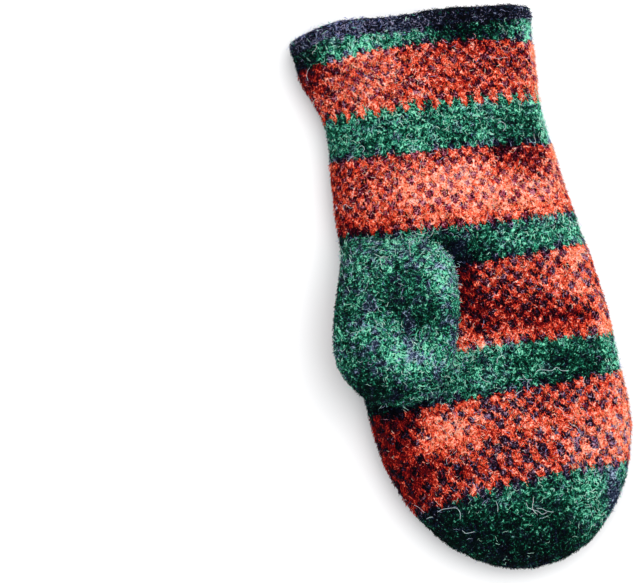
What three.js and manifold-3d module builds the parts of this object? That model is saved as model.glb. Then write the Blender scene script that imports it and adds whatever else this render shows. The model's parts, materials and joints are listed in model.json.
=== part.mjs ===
// A felted wool mitten for the right hand. It lies palm up on a flat surface, fingertips towards -Y,
// cuff towards +Y, with its thumb folded flat over the palm. Millimetres, +Z up.
// The hand is one tube knitted in the round, closed at the toe. The thumb is a tube of its own, worked
// from a slit in the palm, and the cuff ends in an edge that rolls outwards.

import * as THREE from "three";
import Module from "manifold-3d";

const wasm = await Module();
wasm.setup();

const HAND_WALL = 4; // felted double-stranded knitting
const THUMB_WALL = 3.6; // felted single-stranded knitting
const GAP = 0.3; // between two pieces that are knitted to each other
const ROLL_RADIUS = 4.3; // of the rolled edge
const ROLL_UNEVEN = { swells: 3, depth: 0.35 }; // how the roll's radius changes on its way round
const ROLL_SEAT = 1.4; // how deep the roll's middle lies under the hand's outer face

const AROUND_HAND = 48; // points in each ring of the hand and in the roll's path
const AROUND_THUMB = 32;
const AROUND_ROLL = 8;
const HAND_RINGS = { outer: { straight: 26, round: 12 }, inner: { straight: 16, round: 8 } };
const THUMB_RINGS = { outer: { straight: 15, round: 9 }, inner: { straight: 12, round: 7 } };

// The hand's outline from above (left and right edges), and the height of its underside and its palm.
const HAND = [
  { y: -60, left: -56.4, right: 66.6, base: -0.5, top: 30 },
  { y: -30, left: -57.2, right: 65.9, base: -0.5, top: 31 },
  { y: 0, left: -55.5, right: 63.4, base: -0.5, top: 31 },
  { y: 35, left: -53.3, right: 58.5, base: -0.5, top: 30 },
  { y: 60, left: -51.5, right: 56.3, base: -0.5, top: 28.5 },
  { y: 80, left: -48.6, right: 55.2, base: -0.4, top: 27.5 },
  { y: 95, left: -49.8, right: 55.6, base: 0.1, top: 27 },
  { y: 112, left: -54.8, right: 57, base: 1.4, top: 27 },
  { y: 126, left: -56, right: 57, base: 2.6, top: 27 },
];
const TOE = { start: -60, length: 78.4, across: 61.5, shift: 3.9 }; // half an ellipse beyond start
const SIDE_HEIGHT = 0.43; // where the hand is widest, as a share of its height
const PALM_FULLNESS = 2.35; // exponents of the section: 2 is an ellipse, more is squarer
const BACK_FULLNESS = 3.6;
const HEIGHT_FULLNESS = 2.7; // how blunt the toe's edge is

// Rises and dents of the palm, each a soft mound of this size.
const PALM_FORM = [
  { of: "bed of the thumb", x: -34, y: -10, wide: 30, long: 38, rise: -2.2 },
  { of: "hollow beside the thumb", x: 10, y: -10, wide: 13, long: 26, rise: -2.4 },
  { of: "crown of the upper palm", x: 4, y: 52, wide: 30, long: 20, rise: 1.6 },
  { of: "crown of the fingers", x: 2, y: -70, wide: 34, long: 24, rise: 1.6 },
  { of: "dip in the cuff", x: 22, y: 120, wide: 15, long: 15, rise: -2.6 },
  { of: "swell in the cuff", x: -24, y: 114, wide: 18, long: 16, rise: 1.4 },
];

// The mouth's edge from above: a shallow arch with a wave in it, that fades away down the cuff.
const MOUTH = { y: 125.6, slope: -0.055, arch: -0.0016, fade: 46 };
const MOUTH_WAVE = [
  { x: -35, wide: 17, rise: 3.6 },
  { x: -4, wide: 9, rise: -0.9 },
  { x: 56, wide: 12, rise: 1.4 },
];

// The thumb lies on the palm. Each row is a place along its axis: how far its middle lies to the side,
// half its width, and the heights of its two faces over the palm. It starts inside the hand.
const THUMB_ROOT = { x: -29.5, y: 26, turn: THREE.MathUtils.degToRad(10.5) };
const THUMB = [
  { along: -8, side: 0.6, half: 21, under: -20, over: -4.5 },
  { along: -3, side: 0.8, half: 23.5, under: -19, over: 2.5 },
  { along: 3, side: 1.6, half: 25.4, under: -17, over: 8.6 },
  { along: 11, side: 2.4, half: 27.5, under: -12.5, over: 13.8 },
  { along: 19, side: 2.2, half: 28.8, under: -6, over: 16.4 },
  { along: 26, side: 1.8, half: 29.3, under: -0.4, over: 17.4 },
  { along: 34, side: 1, half: 29.6, under: 0.5, over: 17.8 },
  { along: 44, side: -0.2, half: 29.4, under: 0.5, over: 17.2 },
];
const THUMB_TIP = { start: 44, length: 31.5, side: 0.4 }; // half an ellipse beyond start
const THUMB_FULLNESS = 2.6;
const THUMB_BED = { share: 0.56, droop: 0.13 }; // beyond this share of the palm it sags sideways

// A table's columns as smooth functions of its first column.
function smoothTable(rows) {
  const [key, ...columns] = Object.keys(rows[0]);
  const at = rows.map((row) => row[key]);
  const values = rows.flatMap((row) => columns.map((column) => row[column]));
  const curve = new THREE.CubicInterpolant(at, values, columns.length, []);
  return (place) => {
    const found = curve.evaluate(THREE.MathUtils.clamp(place, at[0], at[at.length - 1]));
    return Object.fromEntries(columns.map((column, i) => [column, found[i]]));
  };
}

const handAt = smoothTable(HAND);
const thumbAt = smoothTable(THUMB);

const mound = (offset, size) => Math.exp(-((offset / size) ** 2));
const power = (value, exponent) => Math.sign(value) * Math.abs(value) ** exponent;

// How far a round end has closed at this share of its length: 1 where it starts, 0 at its tip.
const closing = (share, fullness) => Math.sqrt(Math.max(0, 1 - share ** fullness));

// The hand's section at y: its middle, half width, side height, rise to the palm and drop to the back.
function handSection(y, inset = 0) {
  const row = handAt(y);
  const share = THREE.MathUtils.clamp((TOE.start - y) / (TOE.length - inset), 0, 1);
  const side = THREE.MathUtils.lerp(row.base, row.top, SIDE_HEIGHT);
  const width = share > 0 ? TOE.across : (row.right - row.left) / 2;
  const flat = closing(share, HEIGHT_FULLNESS);
  return {
    middle: (row.left + row.right) / 2 + TOE.shift * share,
    half: (width - inset) * closing(share, 2),
    side,
    rise: (row.top - side - inset) * flat,
    drop: (side - row.base - inset) * flat,
  };
}

function palmForm(x, y) {
  return PALM_FORM.reduce((sum, m) => sum + m.rise * mound(x - m.x, m.wide) * mound(y - m.y, m.long), 0);
}

function palmTop(x, y) {
  const s = handSection(y);
  const across = Math.min(1, Math.abs((x - s.middle) / s.half));
  const round = (1 - across ** PALM_FULLNESS) ** (1 / PALM_FULLNESS);
  return s.side + s.rise * round + palmForm(x, y) * round;
}

// How far the mouth's wave moves a point of the cuff along the hand.
function mouthShift(x, y) {
  const wave = MOUTH_WAVE.reduce((sum, w) => sum + w.rise * mound(x - w.x, w.wide), 0);
  return (MOUTH.slope * x + MOUTH.arch * x * x + wave) * mound(y - MOUTH.y, MOUTH.fade);
}

// A point of the hand's surface, this far inside its outer face.
function handPoint(y, angle, inset = 0) {
  const s = handSection(y, inset);
  const up = Math.sin(angle);
  const fullness = up > 0 ? PALM_FULLNESS : BACK_FULLNESS;
  const x = s.middle + s.half * power(Math.cos(angle), 2 / fullness);
  const reach = Math.abs(up) ** (2 / fullness);
  const z = up > 0 ? s.side + (s.rise + palmForm(x, y)) * reach : s.side - s.drop * reach;
  return new THREE.Vector3(x, y + mouthShift(x, y), inset > 0 ? z : Math.max(z, 0));
}

function ring(count, pointAt) {
  return Array.from({ length: count }, (_, i) => pointAt((i / count) * 2 * Math.PI));
}

// Places from start to the beginning of a round end, then closer and closer together to its tip.
function stations(start, turn, tip, { straight, round }) {
  const along = Array.from({ length: straight }, (_, i) => THREE.MathUtils.lerp(start, turn, i / straight));
  const swing = Array.from({ length: round }, (_, i) => Math.sin((i / round) * (Math.PI / 2)));
  return [...along, ...swing.map((share) => THREE.MathUtils.lerp(turn, tip, share))];
}

// Triangles that join each ring to the next. A tip closes one end to a point.
function lofted(rings, { tip, start, closed = false }) {
  const count = rings[0].length;
  const points = rings.flat();
  const index = [];
  const span = closed ? rings.length : rings.length - 1;
  for (let r = 0; r < span; r++)
    for (let i = 0; i < count; i++) {
      const next = ((r + 1) % rings.length) * count;
      const [a, b] = [r * count + i, r * count + ((i + 1) % count)];
      const [c, d] = [next + i, next + ((i + 1) % count)];
      index.push(a, b, d, a, d, c);
    }
  const fan = (centre, first, turned) => {
    points.push(centre);
    for (let i = 0; i < count; i++) {
      const [a, b] = [first + i, first + ((i + 1) % count)];
      index.push(...(turned ? [b, a] : [a, b]), points.length - 1);
    }
  };
  if (tip) fan(tip, (rings.length - 1) * count, false);
  if (start) fan(start, 0, true);
  return new THREE.BufferGeometry().setFromPoints(points).setIndex(index);
}

// A closed geometry as a solid that can be cut, with its faces turned outwards.
function solid(geometry) {
  const vertProperties = geometry.attributes.position.array;
  const triVerts = new Uint32Array(geometry.index.array);
  const made = new wasm.Manifold(new wasm.Mesh({ numProp: 3, vertProperties, triVerts }));
  if (made.volume() > 0) return made;
  return new wasm.Manifold(new wasm.Mesh({ numProp: 3, vertProperties, triVerts: triVerts.reverse() }));
}

function geometryOf(cut) {
  const mesh = cut.getMesh();
  const geometry = new THREE.BufferGeometry()
    .setAttribute("position", new THREE.BufferAttribute(mesh.vertProperties, 3))
    .setIndex(new THREE.BufferAttribute(mesh.triVerts, 1))
    .toNonIndexed();
  geometry.computeVertexNormals();
  return geometry;
}

function wool(color) {
  return new THREE.MeshStandardMaterial({ color, roughness: 0.95, metalness: 0 });
}

// One face of the hand, from the mouth to the toe's tip, as rings.
function handRings(inset, counts) {
  const tip = TOE.start - TOE.length + inset;
  const places = stations(MOUTH.y, TOE.start, tip, counts);
  return places.map((y) => ring(AROUND_HAND, (angle) => handPoint(y, angle, inset)));
}

function handTip(inset) {
  const y = TOE.start - TOE.length + inset;
  const s = handSection(y, inset);
  return new THREE.Vector3(s.middle, y, s.side);
}

// The hand's wall: its outer face, its inner face, and the flat rim at the mouth that joins them.
function handShell() {
  const outer = handRings(0, HAND_RINGS.outer);
  const inner = handRings(HAND_WALL, HAND_RINGS.inner);
  const rings = [...outer.reverse(), ...inner];
  return solid(lofted(rings, { start: handTip(0), tip: handTip(HAND_WALL) }));
}

// Everything inside the hand's outer face, grown by a clearance. The thumb is trimmed to it.
function handFilled(clearance) {
  const rings = handRings(-clearance, HAND_RINGS.outer);
  const mouth = new THREE.Vector3(0, MOUTH.y, handSection(MOUTH.y).side);
  return solid(lofted(rings, { start: mouth, tip: handTip(-clearance) }));
}

// The height that the thumb is laid on: the palm, and past its crown a gentle sag to the side.
function thumbBed(x, y) {
  const s = handSection(y);
  const edge = s.middle - s.half * THUMB_BED.share;
  return palmTop(Math.max(x, edge), y) - THUMB_BED.droop * Math.max(0, edge - x);
}

// A point of the thumb's surface, this far inside its outer face.
function thumbPoint(along, angle, inset) {
  const row = thumbAt(along);
  const { x, y, turn } = THUMB_ROOT;
  const beyond = Math.max(0, along - THUMB_TIP.start);
  const share = Math.min(1, beyond / (THUMB_TIP.length - inset));
  const across = (row.half - inset) * closing(share, 2) * power(Math.cos(angle), 2 / THUMB_FULLNESS);
  const side = row.side + (THUMB_TIP.side * beyond) / THUMB_TIP.length + across;
  const thick = ((row.over - row.under) / 2 - inset) * closing(share, HEIGHT_FULLNESS);
  const lift = (row.over + row.under) / 2 + thick * power(Math.sin(angle), 2 / THUMB_FULLNESS);
  const px = x - Math.sin(turn) * along + Math.cos(turn) * side;
  const py = y - Math.cos(turn) * along - Math.sin(turn) * side;
  return new THREE.Vector3(px, py, thumbBed(px, py) + lift);
}

function thumbMiddle(along, inset) {
  const [right, left] = [thumbPoint(along, 0, inset), thumbPoint(along, Math.PI, inset)];
  return right.add(left).multiplyScalar(0.5);
}

// The thumb's outer or inner form, closed at its root inside the hand.
function thumbForm(inset, counts) {
  const tip = THUMB_TIP.start + THUMB_TIP.length - inset;
  const places = stations(THUMB[0].along, THUMB_TIP.start, tip, counts);
  const rings = places.map((along) => ring(AROUND_THUMB, (angle) => thumbPoint(along, angle, inset)));
  return solid(lofted(rings, { start: thumbMiddle(places[0], inset), tip: thumbMiddle(tip, inset) }));
}

// The rolled edge: a round of felt that follows the wall round the mouth and stands a little proud of it.
function rolledEdge() {
  const rings = ring(AROUND_HAND, (angle) => {
    const outer = handPoint(MOUTH.y, angle);
    const inner = handPoint(MOUTH.y, angle, HAND_WALL);
    const wall = outer.clone().sub(inner).setY(0).normalize();
    const radius = ROLL_RADIUS - ROLL_UNEVEN.depth * Math.cos((ROLL_UNEVEN.swells * angle) / 2) ** 2;
    const centre = outer.addScaledVector(wall, -ROLL_SEAT);
    const slope = mouthShift(centre.x + 1, MOUTH.y) - mouthShift(centre.x, MOUTH.y);
    centre.y += (radius + GAP) * Math.hypot(1, slope);
    centre.z = Math.max(centre.z, radius);
    return ring(AROUND_ROLL, (turn) =>
      centre
        .clone()
        .addScaledVector(wall, radius * Math.cos(turn))
        .add(new THREE.Vector3(0, radius * Math.sin(turn), 0)),
    );
  });
  return solid(lofted(rings, { closed: true }));
}

const thumbHollow = thumbForm(THUMB_WALL, THUMB_RINGS.inner);
const hand = handShell().subtract(thumbHollow);
const thumb = thumbForm(0, THUMB_RINGS.outer).subtract(thumbHollow).subtract(handFilled(GAP));

const PIECES = [
  { name: "hand", form: hand, material: wool(0xc2421f) },
  { name: "thumb", form: thumb, material: wool(0x1f6b48) },
  { name: "rolled_edge", form: rolledEdge(), material: wool(0x1d1e2b) },
];

const mitten = new THREE.Group();
mitten.name = "mitten";
for (const { name, form, material } of PIECES) {
  const mesh = new THREE.Mesh(geometryOf(form), material);
  mesh.name = name;
  mitten.add(mesh);
}

// The origin is on the resting surface, under the middle of the whole outline.
const box = new THREE.Box3().setFromObject(mitten);
const middle = box.getCenter(new THREE.Vector3());
mitten.position.set(-middle.x, -middle.y, -box.min.z);

const part = new THREE.Group();
part.add(mitten);

export default part;
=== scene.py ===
# A felted wool mitten for the right hand, lying palm up, in the frame of its solids. Metres.
# The knitted shells are lofted from the same sections as the solids, and their stitches are charted
# by rules, with painted light and shade in their colour. The fuzz of the felt is made by Geometry
# Nodes, one piece for each tone of wool, and painted light and shade pick among the tones.

import json
import math
from collections import defaultdict

import bpy
import numpy as np
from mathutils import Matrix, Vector, bvhtree, kdtree, noise

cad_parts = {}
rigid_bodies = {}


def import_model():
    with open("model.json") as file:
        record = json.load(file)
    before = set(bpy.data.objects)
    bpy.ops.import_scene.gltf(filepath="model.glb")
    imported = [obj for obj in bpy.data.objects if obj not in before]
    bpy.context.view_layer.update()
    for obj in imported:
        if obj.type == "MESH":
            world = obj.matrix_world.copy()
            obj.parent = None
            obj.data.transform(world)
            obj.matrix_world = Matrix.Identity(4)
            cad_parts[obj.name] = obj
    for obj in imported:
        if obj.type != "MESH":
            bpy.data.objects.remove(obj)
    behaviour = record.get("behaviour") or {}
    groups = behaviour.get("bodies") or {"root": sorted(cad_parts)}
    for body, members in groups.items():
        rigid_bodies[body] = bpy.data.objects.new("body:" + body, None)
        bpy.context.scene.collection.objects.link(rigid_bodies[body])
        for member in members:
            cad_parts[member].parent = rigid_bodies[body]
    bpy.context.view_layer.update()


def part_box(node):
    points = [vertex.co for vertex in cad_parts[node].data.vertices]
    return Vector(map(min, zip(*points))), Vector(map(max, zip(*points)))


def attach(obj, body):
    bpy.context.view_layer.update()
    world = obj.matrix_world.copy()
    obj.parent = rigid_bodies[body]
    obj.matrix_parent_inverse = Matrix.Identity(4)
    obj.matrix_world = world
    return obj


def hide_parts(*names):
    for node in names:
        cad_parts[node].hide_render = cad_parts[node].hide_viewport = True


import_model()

mm = 0.001
full = 2 * math.pi


# The photograph's frame on the floor, and the camera straight above it.
photo = {
    "width": 640,
    "height": 583,
    "middle": (462.5, 288.3),  # the pixel over the middle of the mitten's palm
    "pixel": 0.48,  # millimetres
    "turn": math.radians(12),  # how far the mitten lies turned to the left
}
camera = {
    "lens": 180,
    "sensor": 36,
    "farthest": 20,  # metres
    "outlineHeight": 13,  # where the outline lies over the floor, in millimetres
}


# Lengths in the hand's own millimetres from here on, until a mesh is put in its place in the frame.
hand = {
    # y, left edge, right edge, underside, palm
    "sections": [
        (-60, -56.4, 66.6, -0.5, 30),
        (-30, -57.2, 65.9, -0.5, 31),
        (0, -55.5, 63.4, -0.5, 31),
        (35, -53.3, 58.5, -0.5, 30),
        (60, -51.5, 56.3, -0.5, 28.5),
        (80, -48.6, 55.2, -0.4, 27.5),
        (95, -49.8, 55.6, 0.1, 27),
        (112, -54.8, 57, 1.4, 27),
        (126, -56, 57, 2.6, 27),
    ],
    "toeStart": -60,
    "toeLength": 78.4,
    "toeAcross": 61.5,
    "toeShift": 3.9,  # of its tip to the right
    "sideHeight": 0.43,  # of its widest line, as a share of its height
    "palmFullness": 2.35,  # 2 is round, and more is fuller
    "backFullness": 3.6,
    "heightFullness": 2.7,
    "wall": 4,
    "inset": 0.35,  # room for the fuzz inside the solid's face
    "floor": 0.9,  # the lowest that its wall lies, with room for the fuzz below
    # rings along the straight part and round the toe, and points around each
    "outerRings": (188, 76, 288),
    "innerRings": (26, 10, 288),
    "filledRings": (90, 30, 128),
    "swell": (2.3, 106, 124),  # how far the felt swells out to the roll, and between which places
    "bumps": [(0.5, 14, 1), (0.35, 5.5, 2)],  # amount, size and seed of each layer of its noise
    "heather": 0.5,  # how much navy wool shows through its green
    # x, y, width, length and rise of each soft mound or dent of the palm
    "mounds": [
        (-34, -10, 30, 38, -2.2),
        (10, -10, 13, 26, -2.4),
        (4, 52, 30, 20, 1.6),
        (2, -70, 34, 24, 1.6),
        (22, 120, 15, 15, -2.6),
        (-24, 114, 18, 16, 1.4),
    ],
    "mouthY": 125.6,
    "mouthSlope": -0.055,
    "mouthArch": -0.0016,
    "mouthFade": 46,  # how far from the mouth its slope and wave are lost
    "mouthWave": [(-35, 17, 3.6), (-4, 9, -0.9), (56, 12, 1.4)],  # x, width and rise
}

thumb = {
    # along, side, half width, underside and top over the palm
    "sections": [
        (-8, 0.6, 21, -20, -4.5),
        (-3, 0.8, 23.5, -19, 2.5),
        (3, 1.6, 25.4, -17, 8.6),
        (11, 2.4, 27.5, -12.5, 13.8),
        (19, 2.2, 28.8, -6, 16.4),
        (26, 1.8, 29.3, -0.4, 17.4),
        (34, 1, 29.6, 0.5, 17.8),
        (44, -0.2, 29.4, 0.5, 17.2),
    ],
    "root": (-29.5, 26),
    "turn": math.radians(10.5),
    "tipStart": 44,
    "tipLength": 31.5,
    "tipSide": 0.4,
    "fullness": 2.6,
    "bedShare": 0.56,  # of the palm's half width that carries it
    "bedDroop": 0.13,  # how steeply it droops beyond that
    "wall": 3.6,
    "inset": 0.3,
    "gap": 0.15,  # to the palm that it grows out of
    "rings": (52, 34, 132),
    "hollowRings": (24, 12, 48),
    "bumps": [(0.5, 11, 21), (0.25, 4, 26)],
    "heather": 0.75,
    "green": 0.72,  # how green its fuzz is, from navy to green
    "hides": (2.5, 2, 12),  # how far inside its sides and tip it hides the palm, and above which height
}

rolledEdge = {
    "radius": 4.3,
    "uneven": 0.35,  # how much thinner it is at places
    "swells": 3,
    "seat": 1.4,  # how far inside the hand's face its middle lies
    "gap": 0.1,
    "inset": 0.25,
    "squared": 4.0,  # how square its corner towards the hand is; 2 is round
    "drawnIn": (-57, 9, 1.6),  # x, width and depth where the cuff's corner is drawn in
    "around": 320,
    "aroundRoll": 20,
    "bumps": [(0.65, 11, 22), (0.325, 4, 27)],
    "heather": 0.5,
    "green": 0.49,
}


# Each column of a table runs smoothly between its rows.
def smoothTable(rows):
    table = np.array(rows, float)
    at, values = table[:, 0], table[:, 1:]
    step = np.diff(at)[:, None]
    chord = np.diff(values, axis=0) / step
    slope = np.vstack([chord[:1], (chord[1:] + chord[:-1]) / 2, chord[-1:]])

    def evaluate(place):
        place = np.clip(np.asarray(place, float), at[0], at[-1])
        i = np.clip(np.searchsorted(at, place, side="right") - 1, 0, len(at) - 2)
        p = ((place - at[i]) / (at[i + 1] - at[i]))[..., None]
        width = (at[i + 1] - at[i])[..., None]
        low = (2 * p**3 - 3 * p**2 + 1) * values[i] + (p**3 - 2 * p**2 + p) * width * slope[i]
        high = (3 * p**2 - 2 * p**3) * values[i + 1] + (p**3 - p**2) * width * slope[i + 1]
        return np.moveaxis(low + high, -1, 0)

    return evaluate


handAt = smoothTable(hand["sections"])
thumbAt = smoothTable(thumb["sections"])


def mound(offset, size):
    return np.exp(-((offset / size) ** 2))


def power(value, exponent):
    return np.sign(value) * np.abs(value) ** exponent


def closing(share, fullness):
    return np.sqrt(np.maximum(0, 1 - share**fullness))


def unit(vectors):
    return vectors / np.linalg.norm(vectors, axis=-1)[..., None]


def smoothStep(value, low, high):
    t = np.clip((value - low) / (high - low), 0, 1)
    return t * t * (3 - 2 * t)


# Soft places added up. Each has an x, y, width, length and amount.
def sumAt(places, x, y):
    parts = [amount * mound(x - mx, wide) * mound(y - my, long) for mx, my, wide, long, amount in places]
    return sum(parts)


def handSection(y, inset=0.0):
    left, right, base, top = handAt(y)
    share = np.clip((hand["toeStart"] - y) / (hand["toeLength"] - inset), 0, 1)
    side = base + (top - base) * hand["sideHeight"]
    width = np.where(share > 0, hand["toeAcross"], (right - left) / 2)
    flat = closing(share, hand["heightFullness"])
    middle = (left + right) / 2 + hand["toeShift"] * share
    half = (width - inset) * closing(share, 2)
    return middle, half, side, (top - side - inset) * flat, (side - base - inset) * flat


def palmTop(x, y):
    middle, half, side, rise, _ = handSection(y)
    across = np.minimum(1, np.abs((x - middle) / half))
    fullness = hand["palmFullness"]
    roundness = (1 - across**fullness) ** (1 / fullness)
    return side + (rise + sumAt(hand["mounds"], x, y)) * roundness


def mouthShift(x, y):
    wave = sum(rise * mound(x - wx, wide) for wx, wide, rise in hand["mouthWave"])
    lean = hand["mouthSlope"] * x + hand["mouthArch"] * x * x + wave
    return lean * mound(y - hand["mouthY"], hand["mouthFade"])


def handPoints(y, angle, inset):
    middle, half, side, rise, drop = handSection(y, inset)
    up = np.sin(angle)
    fullness = np.where(up > 0, hand["palmFullness"], hand["backFullness"])
    x = middle + half * power(np.cos(angle), 2 / fullness)
    reach = np.abs(up) ** (2 / fullness)
    z = np.where(up > 0, side + (rise + sumAt(hand["mounds"], x, y)) * reach, side - drop * reach)
    return np.stack([x, y + mouthShift(x, y), np.maximum(z, hand["floor"])], axis=-1)


def thumbBed(x, y):
    middle, half, *_ = handSection(y)
    edge = middle - half * thumb["bedShare"]
    return palmTop(np.maximum(x, edge), y) - thumb["bedDroop"] * np.maximum(0, edge - x)


def thumbPoints(along, angle, inset):
    rowSide, rowHalf, under, over = thumbAt(along)
    turn, (rootX, rootY) = thumb["turn"], thumb["root"]
    beyond = np.maximum(0, along - thumb["tipStart"])
    share = np.minimum(1, beyond / (thumb["tipLength"] - inset))
    across = (rowHalf - inset) * closing(share, 2) * power(np.cos(angle), 2 / thumb["fullness"])
    side = rowSide + thumb["tipSide"] * beyond / thumb["tipLength"] + across
    thick = ((over - under) / 2 - inset) * closing(share, hand["heightFullness"])
    lift = (over + under) / 2 + thick * power(np.sin(angle), 2 / thumb["fullness"])
    x = rootX - math.sin(turn) * along + math.cos(turn) * side
    y = rootY - math.cos(turn) * along - math.sin(turn) * side
    return np.stack([x, y, thumbBed(x, y) + lift], axis=-1)


def stations(start, turn, tip, straight, tipRings):
    swing = np.sin(np.arange(tipRings) / tipRings * math.pi / 2)
    even = np.linspace(start, turn, straight, endpoint=False)
    return np.concatenate([even, turn + (tip - turn) * swing])


# Points spread evenly along each half of a ring, from the right edge over the palm and back below, and
# how far round each lies from the middle of its half.
def evenRings(pointsAt, places, count, fine=360):
    angles = np.concatenate([np.linspace(0, math.pi, fine), np.linspace(math.pi, full, fine)])
    traced = pointsAt(places[:, None], angles[None, :])
    rings = np.zeros((len(places), count, 3))
    around = np.zeros((len(places), count))
    for r, line in enumerate(traced):
        for h, part in enumerate((line[:fine], line[fine:])):
            run = np.concatenate([[0], np.cumsum(np.linalg.norm(np.diff(part, axis=0), axis=1))])
            run += np.arange(fine) * 1e-9  # so that no two are the same
            wanted = np.linspace(0, run[-1], count // 2, endpoint=False)
            place = slice(h * (count // 2), (h + 1) * (count // 2))
            rings[r, place] = np.stack([np.interp(wanted, run, part[:, k]) for k in range(3)], axis=-1)
            around[r, place] = (run[-1] / 2 - wanted) * (1 if h == 0 else -1)
    return rings, around


# Vertices and faces of rings joined one to the next, with a tip at either end.
def lofted(rings, startTip=None, endTip=None, closed=False):
    total, count = rings.shape[:2]
    points = rings.reshape(-1, 3)
    index = np.arange(total * count).reshape(total, count)
    nextRing = np.roll(index, -1, axis=0) if closed else index[1:]
    thisRing = index if closed else index[:-1]
    quads = np.stack([thisRing, np.roll(thisRing, -1, 1), np.roll(nextRing, -1, 1), nextRing], axis=-1)
    faces = quads.reshape(-1, 4).tolist()
    for tip, ring in ((startTip, index[0][::-1]), (endTip, index[-1])):
        if tip is None:
            continue
        points = np.vstack([points, [tip]])
        faces += [(int(a), int(b), len(points) - 1) for a, b in zip(ring, np.roll(ring, -1))]
    return points, faces


def addObject(name, data):
    made = bpy.data.objects.new(name, data)
    bpy.context.scene.collection.objects.link(made)
    return made


def makeObject(name, points, faces):
    mesh = bpy.data.meshes.new(name)
    mesh.from_pydata([tuple(p) for p in points], [], faces)
    if signedVolume(mesh) < 0:
        mesh.flip_normals()
    return addObject(name, mesh)


def positions(mesh):
    places = np.zeros(len(mesh.vertices) * 3)
    mesh.vertices.foreach_get("co", places)
    return places.reshape(-1, 3)


def signedVolume(mesh):
    mesh.calc_loop_triangles()
    corners = np.zeros(len(mesh.loop_triangles) * 3, int)
    mesh.loop_triangles.foreach_get("vertices", corners)
    a, b, c = np.moveaxis(positions(mesh)[corners.reshape(-1, 3)], 1, 0)
    return float(np.einsum("ij,ij->i", a, np.cross(b, c)).sum() / 6)


def noiseAt(points, size, seed):
    offset = Vector((17.3 * seed, 9.1 * seed, 5.7 * seed))
    return np.array([noise.noise(Vector(p) / size + offset) for p in points])


def layeredNoise(points, layers):
    return sum(amount * noiseAt(points, size, seed) for amount, size, seed in layers)


def displace(mesh, amounts):
    normals = np.zeros(len(mesh.vertices) * 3)
    mesh.vertices.foreach_get("normal", normals)
    moved = positions(mesh) + normals.reshape(-1, 3) * amounts[:, None]
    mesh.vertices.foreach_set("co", moved.ravel())
    mesh.update()


# The piece with its modifiers applied, as a plain mesh.
def bake(piece):
    graph = bpy.context.evaluated_depsgraph_get()
    mesh = bpy.data.meshes.new_from_object(piece.evaluated_get(graph))
    old = piece.data
    piece.modifiers.clear()
    piece.data = mesh
    bpy.data.meshes.remove(old)


def remove(*pieces):
    for piece in pieces:
        bpy.data.objects.remove(piece)


def setAttributes(mesh, **named):
    for name, values in named.items():
        held = mesh.attributes.get(name) or mesh.attributes.new(name, "FLOAT", "POINT")
        held.data.foreach_set("value", np.asarray(values, np.float32))


def readAttribute(mesh, name):
    values = np.zeros(len(mesh.vertices), np.float32)
    mesh.attributes[name].data.foreach_get("value", values)
    return values


# Cuts other pieces away, and gives back the named attributes, as the nearest vertex had them before.
def cutAway(piece, names, *others):
    source = positions(piece.data)
    held = {name: readAttribute(piece.data, name) for name in names}
    for other in others:
        cut = piece.modifiers.new("cut", "BOOLEAN")
        cut.operation = "DIFFERENCE"
        cut.solver = "MANIFOLD"
        cut.object = other
        bake(piece)
    tree = kdtree.KDTree(len(source))
    for i, point in enumerate(source):
        tree.insert(point, i)
    tree.balance()
    nearest = np.array([tree.find(v.co)[1] for v in piece.data.vertices])
    setAttributes(piece.data, **{name: values[nearest] for name, values in held.items()})


# From the hand's own millimetres to the frame's.
def frameShift():
    low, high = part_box("hand")
    edge = max(row[2] for row in hand["sections"])
    tip = hand["toeStart"] - hand["toeLength"]
    return np.array([high.x / mm - edge, low.y / mm - tip, 0])


def putInFrame(piece, shift):
    moved = (positions(piece.data) + shift) * mm
    moved[:, 2] = np.maximum(moved[:, 2], 0)  # nothing dips under the floor
    piece.data.vertices.foreach_set("co", moved.ravel())
    piece.data.update()
    piece.data.shade_smooth()


# The stitches, and how the felt blurs them.
stitch = {
    "wide": 4.15,  # where the hand is widest
    "high": 3.8,
    "slant": 0.9,  # of its legs, in rows for each stitch's width
    "wander": 0.34,  # how far the felting has moved its edges, in stitches
    "wanderSize": 3.0,
    "turn": 0.42,  # how far the hair of each leg turns outwards, in radians
    "rim": 0.6,  # how much of a navy stitch is hidden at its rim
    "dot": 0.45,  # where that starts, from 0 in its middle to 1 at its edge
    "chances": (211, 197),  # rows and columns of the stitches that differ by chance
    "toneChance": 0.25,
    "loopPaintedHighlight": 0.4,  # how much lighter the middle of its loop is, a painted highlight on its crown
    "hiddenChance": 0.7,  # that a navy stitch is hidden
    "lostChance": 0.85,  # that an orange or green one is lost
    "kept": (0.6, 0.35),  # how much cover keeps it from that, and how much it is kept anyway
    "most": 0.9,  # that is hidden or lost of any stitch
    "inside": 0.4,  # how much of the pattern shows inside the hand
}
# The knitting's chart. Each word is one row of a small repeat, where x is navy, g is green and the dot
# is orange, counted from the cuff. Each band of rows ends on a line across the palm: its height over
# the middle, its slope and its curve. The last two numbers are how plum its navy stitches look, and
# how much of them the fuzz of the others hides.
palmBands = [
    ("xx xx", (126, -0.105, 0.0002), 0, 0),
    ("gx gg gx", (117.9, -0.0696, -0.00185), 0, 0.1),
    ("x. .x x. .x x. .x x. .x .g", (87.3, -0.0948, -0.00069), 0.82, 0.05),
    ("gg gg gg gg gg gx", (66.3, -0.1228, -0.00047), 0, 0.1),
    ("x. .x x. .x x. .x x. .x .. x.", (29.4, -0.110, 0.00055), 0.92, 0.05),
    ("xg gg gg gg gx", (10.05, -0.035, 0), 0, 0.1),
    (".x x. .x x. .x x. .x x. .x .. x.", (-29.9, -0.040, -0.00102), 0.5, 0),
    ("gg gg gg gg gg gx", (-53.0, -0.022, 0), 0, 0.1),
    ("x. .x x. .x .. .x x. .x .x x. .x", (-96.2, 0.0624, -0.00161), 0.3, 0),
    ("gx gg gg gg gg gg gg gg gg gg gg", (-139, 0, 0), 0, 0.1),
]
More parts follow.
